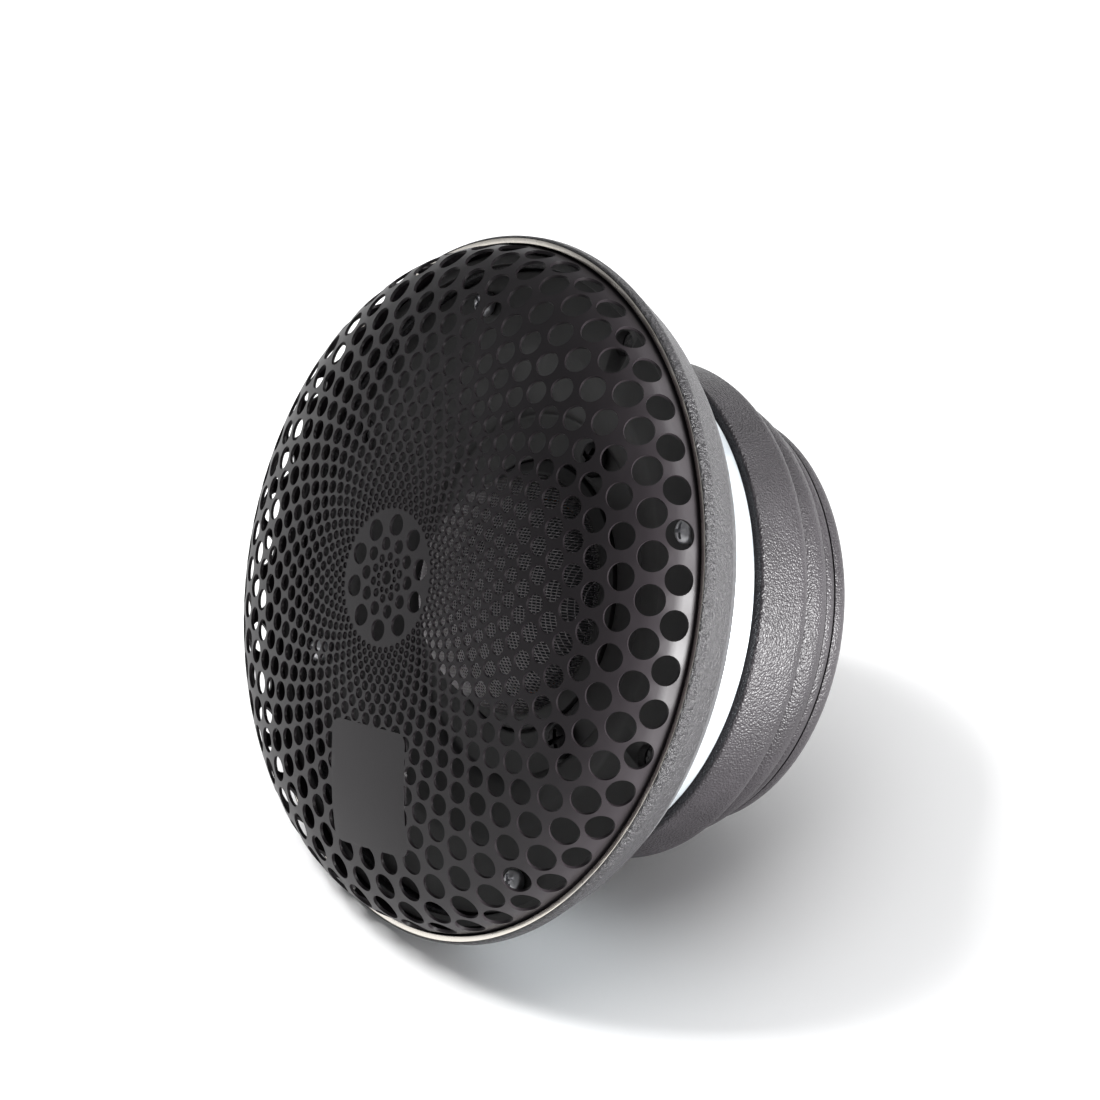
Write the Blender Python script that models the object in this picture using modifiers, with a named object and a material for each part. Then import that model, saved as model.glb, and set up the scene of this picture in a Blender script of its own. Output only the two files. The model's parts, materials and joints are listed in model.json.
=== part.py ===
"""Dome tweeter with a perforated grille, lying on its side on the trim ring and the rear cover.

Every piece is turned or placed round the speaker's own axis. In that frame the axis is Z, +Z is the
front, and Z = 0 is the front plane of the trim ring, so a depth below is measured rearwards from it.
The whole assembly hangs on one empty, which tips it over until the ring and the cover both touch the
ground. Lengths in the tables are millimetres.
"""
import math

import bmesh
import bpy

MM = 0.001
GAP = 0.3              # clearance between neighbouring pieces
OUTER_SIDES = 40       # facets of the outer turned pieces, one of them square to the ground
INNER_SIDES = 24
SMALL_SIDES = 10
HOLE_SIDES = 8
MERGE = 1e-6           # merge distance of the turned profiles, in metres

# Driving dimensions
RING_RADIUS = 48.0
LIP_INNER = 46.9       # bore of the front rim that the grille sits in
GRILLE_RADIUS = 46.5
GRILLE_HEIGHT = 16.1
GRILLE_EXPONENT = 2.35 # superellipse: a flat crown with a steep shoulder
GRILLE_SHEET = 0.5
GRILLE_STEPS = 7       # facets along the dome's outline
RING_BACK = 7.65       # depth of the flange's rear face
GASKET_BACK = 9.4
FLANGE_BORE = 33.8
CAN_RADIUS = 33.5
CAN_NECK = 32.1        # where the rear cover pushes over the can
CAN_BACK = 28.0
CAN_WALL = 0.6
COVER_RADIUS = 34.4
COVER_FRONT = 20.8
COVER_BACK = 41.8
COVER_CORNER = 3.0
FIXING_CIRCLE = 40.0   # radius of the circle that all flange fixings share
SCREW_ANGLE = 45.5     # first waveguide screw, degrees from the axis's right-hand side
PANEL_HOLE = 1.8       # radius of the holes for the panel screws
DIAPHRAGM_RADIUS = 13.0
GUARD_RADIUS = 16.4
GUARD_HEIGHT = 13.5
GUARD_BASE = 7.85
STACK_FRONT = 8.15     # front of the diaphragm stack, just behind the wire guard
POLE_RADIUS = 11.7
VENT_RADIUS = 4.0
PLATE_RADIUS = 29.2
PLATE_FRONT = STACK_FRONT + 3.2
PLATE_BACK = PLATE_FRONT + 4.0
MAGNET_BACK = 21.45
YOKE_BACK = 25.6
CHAMBER_RADIUS = 24.6
CHAMBER_FRONT = 29.4
CHAMBER_BACK = 35.5
CHAMBER_WALL = 1.5
MOTOR_SCREW_CIRCLE = 22.0
RECESS = (34.0, 16.0)  # shallow pocket in the rear face, for the terminal board
RECESS_FLOOR = COVER_BACK - 2.8
REAR_WALL = RECESS_FLOOR - 1.2          # inner face of the cover's rear wall
WINDOW = (24.0, 10.0)  # opening in the pocket's floor, for the rivets and leads
BOARD_FRONT = RECESS_FLOOR + GAP
BOARD_BACK = BOARD_FRONT + 1.0
TAB_BACK = BOARD_BACK + GAP + 0.6
TERMINAL_X = 6.0
RIVET_Y = -2.8
BOARD_SCREW_X = 14.3
WIRE_RADIUS = 0.55
WIRE_ANGLES = (60, 120)
WIRE_SLOT_CIRCLE = 27.4

COLOURS = {            # base colour, metallic, roughness
    "grille_paint": ((0.035, 0.034, 0.037), 0.5, 0.42),
    "wrinkle_paint": ((0.02, 0.02, 0.022), 0.1, 0.62),
    "cover_plastic": ((0.02, 0.02, 0.022), 0.0, 0.6),
    "lip_metal": ((0.72, 0.68, 0.62), 1.0, 0.3),
    "matte_plastic": ((0.015, 0.015, 0.016), 0.0, 0.7),
    "zinc": ((0.85, 0.88, 0.92), 1.0, 0.3),
    "black_steel": ((0.05, 0.05, 0.055), 1.0, 0.4),
    "steel": ((0.6, 0.6, 0.62), 1.0, 0.35),
    "mesh_wire": ((0.12, 0.12, 0.125), 0.8, 0.4),
    "ferrite": ((0.06, 0.06, 0.065), 0.1, 0.75),
    "copper": ((0.8, 0.42, 0.27), 1.0, 0.3),
    "silk": ((0.02, 0.02, 0.025), 0.0, 0.8),
    "kapton": ((0.45, 0.22, 0.06), 0.0, 0.4),
    "foam": ((0.03, 0.03, 0.032), 0.0, 0.95),
    "felt": ((0.35, 0.34, 0.33), 0.0, 0.95),
    "terminal_plastic": ((0.02, 0.02, 0.02), 0.0, 0.5),
    "tin": ((0.75, 0.75, 0.72), 1.0, 0.35),
    "wire_red": ((0.5, 0.03, 0.02), 0.0, 0.5),
    "wire_black": ((0.02, 0.02, 0.02), 0.0, 0.5),
}


def clear_scene():
    for old in list(bpy.data.objects):
        bpy.data.objects.remove(old, do_unlink=True)


def new_collection(name):
    collection = bpy.data.collections.new(name)
    bpy.context.scene.collection.children.link(collection)
    return collection


def material(name):
    """One Principled material for each finish, made the first time it is asked for."""
    found = bpy.data.materials.get(name)
    if found:
        return found
    colour, metallic, roughness = COLOURS[name]
    made = bpy.data.materials.new(name)
    made.use_nodes = True
    shader = made.node_tree.nodes["Principled BSDF"]
    shader.inputs["Base Color"].default_value = (*colour, 1.0)
    shader.inputs["Metallic"].default_value = metallic
    shader.inputs["Roughness"].default_value = roughness
    made.diffuse_color = (*colour, 1.0)
    return made


# Profiles: lists of (radius, depth), running from the front down the outer side.

def superellipse(radius, height, exponent, base, steps):
    """A dome's outline from its apex on the axis out to its rim at the base depth."""
    points = []
    for i in range(steps + 1):
        turn = math.pi / 2 * i / steps
        r = radius * math.sin(turn) ** (2 / exponent)
        points.append((r, base - height * math.cos(turn) ** (2 / exponent)))
    return points


def arc(radius, centre, start, end, steps):
    """Points on a circle in the profile plane; 0 degrees faces outwards and 90 degrees rearwards."""
    points = []
    for i in range(steps + 1):
        turn = math.radians(start + (end - start) * i / steps)
        points.append((centre[0] + radius * math.cos(turn), centre[1] + radius * math.sin(turn)))
    return points


def tube_profile(inner, outer, front, back):
    return [(outer, front), (outer, back), (inner, back), (inner, front)]


def disc_profile(radius, front, back):
    return [(0, front), (radius, front), (radius, back), (0, back)]


TRIM_RING = [
    (LIP_INNER, 0.9), (RING_RADIUS - 0.2, 0.9), (RING_RADIUS, 1.1), (RING_RADIUS, 1.7),
    (44.6, RING_BACK - 0.25), (44.4, RING_BACK), (FLANGE_BORE, RING_BACK), (FLANGE_BORE, 5.4),
    (43.9, 5.4), (43.9, 2.9), (LIP_INNER, 2.9),
]
COVER_OUTER = (        # four crowned bands, each curving inwards before the next one starts
    [(COVER_RADIUS - 0.4, COVER_FRONT), (COVER_RADIUS, COVER_FRONT + 0.4)]
    + arc(2.5, (31.6, 27.6), 0, 58, 3)
    + arc(6.0, (25.9, 31.2), -5, 55, 4)
    + arc(3.0, (26.5, 36.0), 14, 55, 2)
    + arc(COVER_CORNER, (25.3, COVER_BACK - COVER_CORNER), 3, 90, 4)
)
COVER_INNER = [
    (0, REAR_WALL), (27.0, REAR_WALL), (27.0, 35.6), (28.3, 34.6), (28.3, CAN_BACK + GAP),
    (CAN_NECK + GAP, CAN_BACK + GAP), (CAN_NECK + GAP, COVER_FRONT),
]


def lying_tilt():
    """How far the front looks up, in radians, when the ring's edge and the cover's corner both touch."""
    edge = max(TRIM_RING, key=lambda p: (p[0], p[1]))
    return min(math.atan2(edge[0] - r, s - edge[1]) for r, s in COVER_OUTER)


def reach(profile, along_radius, along_depth):
    """How far a profile reaches in a direction given by its parts along the radius and the depth."""
    return max(r * along_radius + s * along_depth for r, s in profile)


class Assembly:
    """Makes pieces in the speaker's own frame, under one empty that lays the speaker down."""

    def __init__(self):
        self.parts = new_collection("car_tweeter")
        self.cutters = new_collection("cutters")
        self.frame = bpy.data.objects.new("speaker_frame", None)
        self.parts.objects.link(self.frame)

    def axis_empty(self, name):
        """An empty on the speaker's axis, for the pieces that slide along it together."""
        empty = bpy.data.objects.new(name, None)
        self.parts.objects.link(empty)
        empty.parent = self.frame
        return empty

    def place(self, piece, finish, parent=None):
        piece.data.materials.clear()
        piece.data.materials.append(material(finish))
        piece.parent = parent or self.frame
        return piece

    def new_object(self, name, data, collection=None):
        piece = bpy.data.objects.new(name, data)
        (collection or self.parts).objects.link(piece)
        return piece

    def turned(self, name, finish, profile, sides=OUTER_SIDES, at=(0, 0), parent=None):
        """A profile turned about an axis parallel to Z, its facets outside the true circle.

        A profile that starts and ends on the axis is left open, and any other is a closed loop.
        """
        grow = 1 / math.cos(math.pi / sides)
        bm = bmesh.new()
        points = [bm.verts.new((r * grow * MM, 0, -s * MM)) for r, s in profile]
        for a, b in zip(points, points[1:]):
            bm.edges.new((a, b))
        if profile[0][0] > 0:
            bm.edges.new((points[-1], points[0]))
        mesh = bpy.data.meshes.new(name)
        bm.to_mesh(mesh)
        bm.free()
        piece = self.new_object(name, mesh)
        piece.location = (at[0] * MM, at[1] * MM, 0)
        piece.rotation_euler = (0, 0, math.pi / sides)
        screw = piece.modifiers.new("turn", "SCREW")
        screw.axis = "Z"
        screw.angle = math.tau
        screw.steps = screw.render_steps = sides
        screw.use_merge_vertices = True
        screw.merge_threshold = MERGE
        screw.use_smooth_shade = False
        return self.place(piece, finish, parent)

    def bored(self, piece, cutters):
        """Cuts each cutter out of a piece with an exact Boolean."""
        for cutter in cutters:
            cut = piece.modifiers.new(cutter.name, "BOOLEAN")
            cut.operation = "DIFFERENCE"
            cut.solver = "EXACT"
            cut.object = cutter
        return piece

    def as_cutter(self, piece):
        piece.parent = self.frame
        piece.hide_render = True
        piece.display_type = "WIRE"
        return piece

    def drill(self, name, radius, front, back, at, sides=HOLE_SIDES):
        """A round cutter along the axis, between two depths."""
        bm = bmesh.new()
        bmesh.ops.create_cone(
            bm, cap_ends=True, segments=sides, radius1=radius * MM, radius2=radius * MM,
            depth=(back - front) * MM,
        )
        mesh = bpy.data.meshes.new(name)
        bm.to_mesh(mesh)
        bm.free()
        cutter = self.new_object(name, mesh, self.cutters)
        cutter.location = (at[0] * MM, at[1] * MM, -(front + back) / 2 * MM)
        return self.as_cutter(cutter)

    def box_mesh(self, name, width, height, front, back):
        bm = bmesh.new()
        bmesh.ops.create_cube(bm, size=1)
        bmesh.ops.scale(bm, verts=bm.verts, vec=(width * MM, height * MM, (back - front) * MM))
        mesh = bpy.data.meshes.new(name)
        bm.to_mesh(mesh)
        bm.free()
        return mesh

    def block(self, name, finish, width, height, front, back, at=(0, 0)):
        piece = self.new_object(name, self.box_mesh(name, width, height, front, back))
        piece.location = (at[0] * MM, at[1] * MM, -(front + back) / 2 * MM)
        return self.place(piece, finish)

    def slot_cutter(self, name, width, height, front, back, at=(0, 0)):
        cutter = self.new_object(name, self.box_mesh(name, width, height, front, back), self.cutters)
        cutter.location = (at[0] * MM, at[1] * MM, -(front + back) / 2 * MM)
        return self.as_cutter(cutter)

    def wire(self, name, finish, radius, points):
        """A round wire through points given as (x, y, depth)."""
        curve = bpy.data.curves.new(name, "CURVE")
        curve.dimensions = "3D"
        curve.bevel_depth = radius * MM
        curve.bevel_resolution = 1
        curve.use_fill_caps = True
        spline = curve.splines.new("POLY")
        spline.points.add(len(points) - 1)
        for point, (x, y, s) in zip(spline.points, points):
            point.co = (x * MM, y * MM, -s * MM, 1)
        piece = self.new_object(name, curve)
        return self.place(piece, finish)


def on_circle(radius, degrees):
    turn = math.radians(degrees)
    return radius * math.cos(turn), radius * math.sin(turn)


def screw_places():
    return [on_circle(FIXING_CIRCLE, SCREW_ANGLE + 90 * k) for k in range(4)]


def panel_hole_places():
    return [on_circle(FIXING_CIRCLE, SCREW_ANGLE + 45 + 90 * k) for k in range(4)]


def motor_screw_places():
    return [on_circle(MOTOR_SCREW_CIRCLE, 90 + 120 * k) for k in range(3)]


def make_grille(build):
    slide = build.axis_empty("grille_slide")
    skirt = 2.6
    outer = superellipse(GRILLE_RADIUS, GRILLE_HEIGHT, GRILLE_EXPONENT, 0, GRILLE_STEPS)
    inner = superellipse(
        GRILLE_RADIUS - GRILLE_SHEET, GRILLE_HEIGHT - GRILLE_SHEET, GRILLE_EXPONENT, 0, GRILLE_STEPS)
    skirt_line = [(GRILLE_RADIUS, skirt), (GRILLE_RADIUS - GRILLE_SHEET, skirt)]
    build.turned("grille", "grille_paint", outer + skirt_line + inner[::-1], OUTER_SIDES, parent=slide)
    build.turned("grille_ring", "matte_plastic", tube_profile(44.2, 45.7, 1.0, skirt), parent=slide)


def make_front(build):
    fixings = screw_places()
    panel_holes = [
        build.drill(f"panel_hole_{k}", PANEL_HOLE, 0, 12, at) for k, at in enumerate(panel_hole_places())]
    screw_holes = [build.drill(f"screw_hole_{k}", 1.3, 0, 12, at) for k, at in enumerate(fixings)]
    ring = build.turned("trim_ring", "wrinkle_paint", TRIM_RING)
    build.bored(ring, panel_holes + screw_holes)
    lip = [(LIP_INNER, 0.1), (LIP_INNER + 0.1, 0.0), (47.8, 0.0), (47.9, 0.1), (47.9, 0.6), (LIP_INNER, 0.6)]
    build.turned("trim_lip", "lip_metal", lip)
    gasket = build.turned("flange_gasket", "foam", tube_profile(37.0, 43.0, RING_BACK + GAP, GASKET_BACK))
    build.bored(gasket, panel_holes)
    floor = STACK_FRONT + GAP
    guide = [
        (43.4, 3.9), (43.6, 4.1), (43.6, 5.1), (33.4, 5.1), (27.0, 8.2), (26.1, 8.8),
        (25.7, floor + 1.2), (18.5, floor + 1.2), (18.5, floor), (24.5, floor), (24.9, 7.8),
        (25.6, 7.2), (32.9, 4.1), (33.8, 3.9),
    ]
    waveguide = build.turned("waveguide", "matte_plastic", guide)
    motor_holes = [
        build.drill(f"motor_hole_{k}", 1.6, STACK_FRONT - 1, PLATE_BACK - 1, at)
        for k, at in enumerate(motor_screw_places())]
    build.bored(waveguide, panel_holes + screw_holes + motor_holes)
    pan_head = [(0, 2.1), (0.9, 2.2), (1.5, 2.6), (1.65, 3.1), (1.65, 3.6), (1.0, 3.6), (1.0, 7.0), (0, 7.0)]
    for k, at in enumerate(fixings, 1):
        build.turned(f"waveguide_screw_{k}", "steel", pan_head, SMALL_SIDES, at)
    return motor_holes


def make_diaphragm(build, motor_holes):
    slide = build.axis_empty("diaphragm_slide")
    guard_outer = superellipse(GUARD_RADIUS, GUARD_HEIGHT, 2, GUARD_BASE, 6)
    guard_inner = superellipse(GUARD_RADIUS - 0.4, GUARD_HEIGHT - 0.4, 2, GUARD_BASE, 6)
    build.turned("mesh_guard", "mesh_wire", guard_outer + guard_inner[::-1], INNER_SIDES)
    front = STACK_FRONT
    build.turned("guard_ring", "matte_plastic", tube_profile(15.8, 18.2, front, front + 0.9), INNER_SIDES)
    sheet = front + 1.2    # front face of the surround's flange
    roll = arc(1.15, (14.45, sheet + 0.1), -170, -10, 4)
    roll_back = arc(0.9, (14.45, sheet + 0.1), -10, -170, 4)
    surround = (
        [(13.25, sheet)] + roll + [(18.2, sheet), (18.2, sheet + GAP), (15.4, sheet + GAP)]
        + roll_back + [(13.25, sheet + GAP)])
    build.turned("surround", "silk", surround, INNER_SIDES)
    dome_base = sheet + 0.2
    dome_outer = superellipse(DIAPHRAGM_RADIUS, 4.7, 2, dome_base, 5)
    dome_inner = superellipse(DIAPHRAGM_RADIUS - 0.3, 4.4, 2, dome_base, 5)
    build.turned("dome_diaphragm", "silk", dome_outer + dome_inner[::-1], INNER_SIDES, parent=slide)
    former = tube_profile(12.65, 12.95, dome_base + GAP, PLATE_BACK + 2.0)
    build.turned("coil_former", "kapton", former, INNER_SIDES, parent=slide)
    coil = tube_profile(13.25, 13.7, PLATE_FRONT + 0.1, PLATE_BACK - 0.1)
    build.turned("voice_coil", "copper", coil, INNER_SIDES, parent=slide)
    ring = build.turned(
        "diaphragm_ring", "matte_plastic", tube_profile(15.8, 24.6, sheet + 2 * GAP, PLATE_FRONT - GAP),
        INNER_SIDES)
    build.bored(ring, motor_holes)


def make_motor(build, motor_holes):
    plate = build.turned(
        "front_plate", "steel", tube_profile(14.1, PLATE_RADIUS, PLATE_FRONT, PLATE_BACK), INNER_SIDES)
    build.bored(plate, motor_holes)
    seat = STACK_FRONT
    head = [
        (0, seat - 1.2), (2.3, seat - 1.2), (2.5, seat - 0.9), (2.5, seat), (1.3, seat),
        (1.3, PLATE_BACK - 1.5), (0, PLATE_BACK - 1.5),
    ]
    for k, at in enumerate(motor_screw_places(), 1):
        build.turned(f"motor_screw_{k}", "black_steel", head, SMALL_SIDES, at)
    magnet = tube_profile(17.5, PLATE_RADIUS, PLATE_BACK + GAP, MAGNET_BACK)
    build.turned("magnet", "ferrite", magnet, INNER_SIDES)
    yoke = [
        (POLE_RADIUS, PLATE_FRONT), (POLE_RADIUS, MAGNET_BACK + GAP), (PLATE_RADIUS, MAGNET_BACK + GAP),
        (PLATE_RADIUS, YOKE_BACK), (VENT_RADIUS, YOKE_BACK), (VENT_RADIUS, PLATE_FRONT),
    ]
    build.turned("yoke", "steel", yoke, INNER_SIDES)
    cap_radius = POLE_RADIUS + GAP
    cap = tube_profile(cap_radius, cap_radius + 0.3, PLATE_FRONT, PLATE_BACK + 2.0)
    build.turned("copper_cap", "copper", cap, INNER_SIDES)
    felt = tube_profile(VENT_RADIUS, 9.0, PLATE_FRONT - 2.2, PLATE_FRONT - GAP)
    build.turned("pole_felt", "felt", felt, INNER_SIDES)
    inner = CAN_RADIUS - CAN_WALL
    neck = CAN_NECK - CAN_WALL
    can = [
        (CAN_RADIUS, RING_BACK + GAP), (CAN_RADIUS, 20.2), (CAN_NECK, 20.5), (CAN_NECK, CAN_BACK - 0.8),
        (CAN_NECK - 0.8, CAN_BACK), (VENT_RADIUS, CAN_BACK), (VENT_RADIUS, CAN_BACK - CAN_WALL),
        (neck, CAN_BACK - CAN_WALL), (neck, 20.1), (inner, 19.8), (inner, RING_BACK + GAP),
    ]
    wire_slots = [
        build.drill(f"wire_slot_{k}", 1.4, 26, 29, on_circle(WIRE_SLOT_CIRCLE, angle))
        for k, angle in enumerate(WIRE_ANGLES)]
    build.bored(build.turned("shield_can", "zinc", can), wire_slots)


def make_chamber(build):
    """The damped cup that the pole's vent opens into."""
    inner = CHAMBER_RADIUS - CHAMBER_WALL
    floor = CHAMBER_BACK - CHAMBER_WALL
    cup = [
        (0, floor), (inner, floor), (inner, CHAMBER_FRONT), (CHAMBER_RADIUS, CHAMBER_FRONT),
        (CHAMBER_RADIUS, CHAMBER_BACK - 0.8), (CHAMBER_RADIUS - 0.8, CHAMBER_BACK), (0, CHAMBER_BACK),
    ]
    build.turned("rear_chamber", "matte_plastic", cup, INNER_SIDES)
    seal = tube_profile(CHAMBER_RADIUS - 3.5, CHAMBER_RADIUS, CAN_BACK + GAP, CHAMBER_FRONT - GAP)
    build.turned("chamber_gasket", "foam", seal, INNER_SIDES)
    stuffing = disc_profile(inner - 0.4, CHAMBER_FRONT, floor - 0.4)
    build.turned("chamber_foam", "foam", stuffing, INNER_SIDES)


def make_rear(build):
    cover = build.turned("rear_cover", "cover_plastic", COVER_INNER + COVER_OUTER + [(0, COVER_BACK)])
    pocket = build.slot_cutter("board_recess", *RECESS, RECESS_FLOOR, COVER_BACK + 1)
    window = build.slot_cutter("board_window", *WINDOW, REAR_WALL - 1, RECESS_FLOOR + 1)
    sides = (("positive", -1, 6.3), ("negative", 1, 4.8))
    screw_holes = [
        build.drill(f"board_screw_hole_{k}", 1.3, REAR_WALL - 1, COVER_BACK, (x, 0))
        for k, x in enumerate((-BOARD_SCREW_X, BOARD_SCREW_X))]
    build.bored(cover, [pocket, window] + screw_holes)
    rivet_holes = [
        build.drill(f"rivet_hole_{name}", 1.4, BOARD_FRONT - 1, COVER_BACK, (side * TERMINAL_X, RIVET_Y))
        for name, side, width in sides]
    clear = 2 * GAP
    board = build.block(
        "terminal_board", "terminal_plastic", RECESS[0] - clear, RECESS[1] - clear, BOARD_FRONT, BOARD_BACK)
    build.bored(board, screw_holes + rivet_holes)
    for (name, side, width), hole in zip(sides, rivet_holes):
        x = side * TERMINAL_X
        solder_hole = build.drill(f"solder_hole_{name}", 0.9, BOARD_FRONT, COVER_BACK + 1, (x, 3.2))
        tab = build.block(
            f"solder_tab_{name}", "tin", width, 11.0, BOARD_BACK + GAP, TAB_BACK, (x, 0.2))
        build.bored(tab, [hole, solder_hole])
        rivet = [
            (0, BOARD_FRONT - 0.7), (1.8, BOARD_FRONT - 0.7), (1.8, BOARD_FRONT - GAP),
            (1.1, BOARD_FRONT - GAP), (1.1, TAB_BACK + GAP), (1.9, TAB_BACK + GAP),
            (1.7, COVER_BACK), (0, COVER_BACK),
        ]
        build.turned(f"terminal_rivet_{name}", "tin", rivet, SMALL_SIDES, (x, RIVET_Y))
    for k, x in enumerate((-BOARD_SCREW_X, BOARD_SCREW_X), 1):
        shape = [
            (0, REAR_WALL + GAP), (1.0, REAR_WALL + GAP), (1.0, BOARD_BACK + GAP), (2.0, BOARD_BACK + GAP),
            (2.0, COVER_BACK - 0.5), (1.6, COVER_BACK - 0.2), (0, COVER_BACK - 0.2),
        ]
        build.turned(f"terminal_screw_{k}", "steel", shape, SMALL_SIDES, (x, 0))
    make_leads(build, sides)


def make_leads(build, sides):
    """The two leads from the rivets, past the chamber and the magnet, to the diaphragm ring."""
    behind = CHAMBER_BACK + 1.1
    run = [
        (25.2, PLATE_FRONT - 0.85), (29.0, PLATE_FRONT - 0.85), (29.9, PLATE_FRONT - 0.6),
        (30.2, PLATE_FRONT + 0.3), (30.2, 25.2), (30.0, 26.1), (29.4, 26.5), (28.3, 26.5), (27.6, 26.8),
        (WIRE_SLOT_CIRCLE, 27.6), (WIRE_SLOT_CIRCLE, 28.8), (26.4, 30.2), (26.4, behind - 1.5),
        (26.1, behind - 0.4), (25.2, behind),
    ]
    for (name, side, width), angle in zip(sides, reversed(WIRE_ANGLES)):
        turn = math.radians(angle)
        points = [(r * math.cos(turn), r * math.sin(turn), s) for r, s in run]
        x = side * TERMINAL_X
        points += [
            (x, RIVET_Y + 1.0, behind), (x, RIVET_Y + 0.2, behind + 0.3), (x, RIVET_Y, behind + 0.9),
            (x, RIVET_Y, BOARD_FRONT - 1.0)]
        colour = "wire_red" if name == "positive" else "wire_black"
        build.wire(f"lead_wire_{name}", colour, WIRE_RADIUS, points)


def lay_down(build):
    """Tips the speaker onto its ring and cover, with the ground at Z = 0 and the outline centred."""
    tilt = lying_tilt()
    along, up = math.cos(tilt), math.sin(tilt)
    grille = superellipse(GRILLE_RADIUS, GRILLE_HEIGHT, GRILLE_EXPONENT, 0, GRILLE_STEPS)
    rearmost = reach(COVER_OUTER + TRIM_RING, up, along)
    foremost = reach(grille + TRIM_RING, up, -along)
    build.frame.rotation_euler = (math.pi / 2 - tilt, 0, 0)
    build.frame.location = (
        0, (foremost - rearmost) / 2 * MM, reach(TRIM_RING + COVER_OUTER, along, up) * MM)


def main():
    clear_scene()
    build = Assembly()
    make_grille(build)
    motor_holes = make_front(build)
    make_diaphragm(build, motor_holes)
    make_motor(build, motor_holes)
    make_chamber(build)
    make_rear(build)
    lay_down(build)


main()
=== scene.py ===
"""Looks for the car tweeter: a perforated domed grille in a wrinkle-painted ring, a zinc-plated motor
can and a pebble-grained rear cover, lying on the ring's edge and the cover's corner.

The tweeter is built in its own frame: the axis is local Z with +Z to the front, Z = 0 is the ring's
front plane, and depths in the profiles run rearwards from it. Profile lengths are millimetres.
"""
import math

import bmesh
import bpy
from mathutils import Matrix, Vector
from mathutils.geometry import delaunay_2d_cdt
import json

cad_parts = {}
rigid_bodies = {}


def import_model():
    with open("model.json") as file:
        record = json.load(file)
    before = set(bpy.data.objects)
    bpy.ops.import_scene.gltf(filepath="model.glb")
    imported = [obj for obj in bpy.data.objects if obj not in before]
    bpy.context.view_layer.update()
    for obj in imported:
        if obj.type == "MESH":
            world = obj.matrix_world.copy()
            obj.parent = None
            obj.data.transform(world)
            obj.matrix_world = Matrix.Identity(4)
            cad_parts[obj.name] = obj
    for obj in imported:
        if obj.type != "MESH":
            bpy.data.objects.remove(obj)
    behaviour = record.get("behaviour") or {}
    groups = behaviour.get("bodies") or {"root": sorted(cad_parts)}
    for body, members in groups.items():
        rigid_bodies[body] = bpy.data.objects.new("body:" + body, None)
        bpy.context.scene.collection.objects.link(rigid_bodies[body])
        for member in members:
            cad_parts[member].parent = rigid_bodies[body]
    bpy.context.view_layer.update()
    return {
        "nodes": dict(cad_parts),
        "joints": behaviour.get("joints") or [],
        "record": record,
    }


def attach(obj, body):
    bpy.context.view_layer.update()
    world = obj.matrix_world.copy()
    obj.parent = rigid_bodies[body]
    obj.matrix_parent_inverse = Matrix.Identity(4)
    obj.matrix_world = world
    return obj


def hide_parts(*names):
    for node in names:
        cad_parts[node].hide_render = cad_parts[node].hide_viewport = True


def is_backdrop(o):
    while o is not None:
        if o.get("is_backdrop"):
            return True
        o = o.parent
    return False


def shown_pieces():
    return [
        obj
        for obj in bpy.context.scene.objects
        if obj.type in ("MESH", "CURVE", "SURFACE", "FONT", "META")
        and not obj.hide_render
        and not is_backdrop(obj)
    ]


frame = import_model()

MM = 0.001
TURN = 2 * math.pi

# Where the tweeter lies: its slide joint gives the axis, and its rear mount a point on the rear face.
FRONT = Vector(next(j["axis"] for j in frame["joints"] if j["name"] == "grille_pull_off")).normalized()
UP = Vector((0, FRONT.z, -FRONT.y))
REAR_MOUNT = next(m for m in frame["record"]["mounts"] if m["name"] == "rear_face")
REAR_MOUNT_HEIGHT = 20.0       # the rear mount's height above the axis
COVER_BACK = 41.8
SEAT = Vector(REAR_MOUNT["pos_m"]) - UP * REAR_MOUNT_HEIGHT * MM + FRONT * COVER_BACK * MM
TO_WORLD = Matrix.Translation(SEAT) @ Matrix((Vector((1, 0, 0)), UP, FRONT)).transposed().to_4x4()

# Driving dimensions, in millimetres
LIP_INNER = 46.9
LIP_OUTER = 47.65
GRILLE_RADIUS = 46.6
GRILLE_HEIGHT = 16.1
GRILLE_EXPONENT = 2.35
SHEET = 0.42
RING_BACK = 7.65
CAN_RADIUS = 33.5
CAN_NECK = 32.1
CAN_BACK = 28.0
GUARD_RADIUS = 16.3
GUARD_HEIGHT = 13.3
GUARD_BASE = 7.85
WEAVE_RISE = 0.06              # how far a wire of the guard swings over and under its neighbours
FIXING_CIRCLE = 40.0
SCREW_ANGLE = 45.5
PATTERN_TURN = 29.5            # the hole pattern and badge are turned this far about the axis

# The grille's holes: rings of staggered holes that shrink towards the middle by a constant ratio
HOLES_PER_RING = 48
RING_RATIO = 1.0885
WIDEST_REGULAR_RING = 41.3
INNER_RINGS = 18               # the widest regular ring and those inside it
HOLE_SHARE = 0.0465            # hole radius as a share of its ring's radius
STAGGER = (-1.9, 1.85)         # angle of the first hole, for even and odd rings
OUTER_RINGS = ((44.45, 1, 2.15), (46.25, 0, 2.1))      # ring radius, stagger, hole radius
CLUSTER = ((7.2, 1.47, 13), (4.65, 0.95, -5), (2.87, 0.6, 13), (1.8, 0.4, -5))
CLUSTER_HOLES = 10
CENTRE_HOLE = 0.97
RIM_SIDES = 192
PLAIN_DISC = 8.9               # radius of the disc that holds the cluster
BADGE_CENTRE = (-1.9, -28.2)
BADGE_HALF = 8.25
BADGE_CORNER = 1.6
BADGE_TURN = -4.0

# The camera, fitted to the photograph: millimetres at the ring's centre, degrees and sensor millimetres
CAMERA_DISTANCE = 1616.6375
VIEW_WIDTH = 148.1918
AIM_RIGHT = 9.2822             # how far the picture's middle lies right of the ring's centre
AIM_ABOVE = 5.2541
VIEW_ANGLE = 52.12             # between the view and the tweeter's axis
VIEW_ROLL = 7.09
SENSOR = 36


# ---------------------------------------------------------------- materials

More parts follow.
